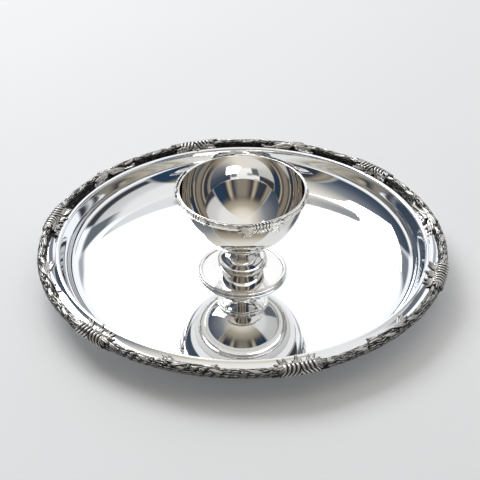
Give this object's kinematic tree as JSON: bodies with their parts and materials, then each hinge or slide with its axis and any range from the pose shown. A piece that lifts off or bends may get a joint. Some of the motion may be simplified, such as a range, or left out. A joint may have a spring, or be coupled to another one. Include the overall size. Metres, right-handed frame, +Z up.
{
  "type": "paten plate",
  "caption": "Round silvered church plate with a deep polished well and an applied leaf border, and a loose footed bowl standing in its middle.",
  "frame": {"origin": "on the plate's axis, in the plane that the plate rests on", "axes": "+Z up along the axis of plate and bowl; -Y is the side the plate is seen from"},
  "size_m": [0.35, 0.35, 0.087],
  "materials": {
    "polished_silver": "polished silver plate with fine wiping marks",
    "chased_silver": "cast and chased silver plate, bright on the high places and darkened in the hollows",
    "fixing_brass": "plain turned brass"
  },
  "bodies": {
    "plate": {"plate_pan": "polished_silver", "rim_border_1": "chased_silver", "rim_border_2": "chased_silver", "rim_border_3": "chased_silver", "rim_border_4": "chased_silver", "rim_border_5": "chased_silver", "rim_border_6": "chased_silver", "ribbed_clasp_1": "chased_silver", "ribbed_clasp_2": "chased_silver", "ribbed_clasp_3": "chased_silver", "ribbed_clasp_4": "chased_silver", "ribbed_clasp_5": "chased_silver", "ribbed_clasp_6": "chased_silver", "leaf_spray_1": "chased_silver", "leaf_spray_2": "chased_silver", "leaf_spray_3": "chased_silver", "leaf_spray_4": "chased_silver", "leaf_spray_5": "chased_silver", "leaf_spray_6": "chased_silver"},
    "footed_bowl": {"bowl_shell": "polished_silver", "bowl_border_1": "chased_silver", "bowl_border_2": "chased_silver", "bowl_border_3": "chased_silver", "bowl_clasp_1": "chased_silver", "bowl_clasp_2": "chased_silver", "bowl_clasp_3": "chased_silver", "bowl_leaf_spray_1": "chased_silver", "bowl_leaf_spray_2": "chased_silver", "bowl_leaf_spray_3": "chased_silver", "stem_collar": "polished_silver", "stem_knop": "polished_silver", "foot_dish": "polished_silver", "foot_edge_wire": "polished_silver", "stem_stud": "fixing_brass", "foot_washer": "fixing_brass", "foot_nut": "fixing_brass"}
  },
  "joints": [
    {"name": "bowl_lift", "type": "slide", "parent": "plate", "child": "footed_bowl", "axis": [0, 0, 1], "range_m": [0, 0.12]}
  ]
}
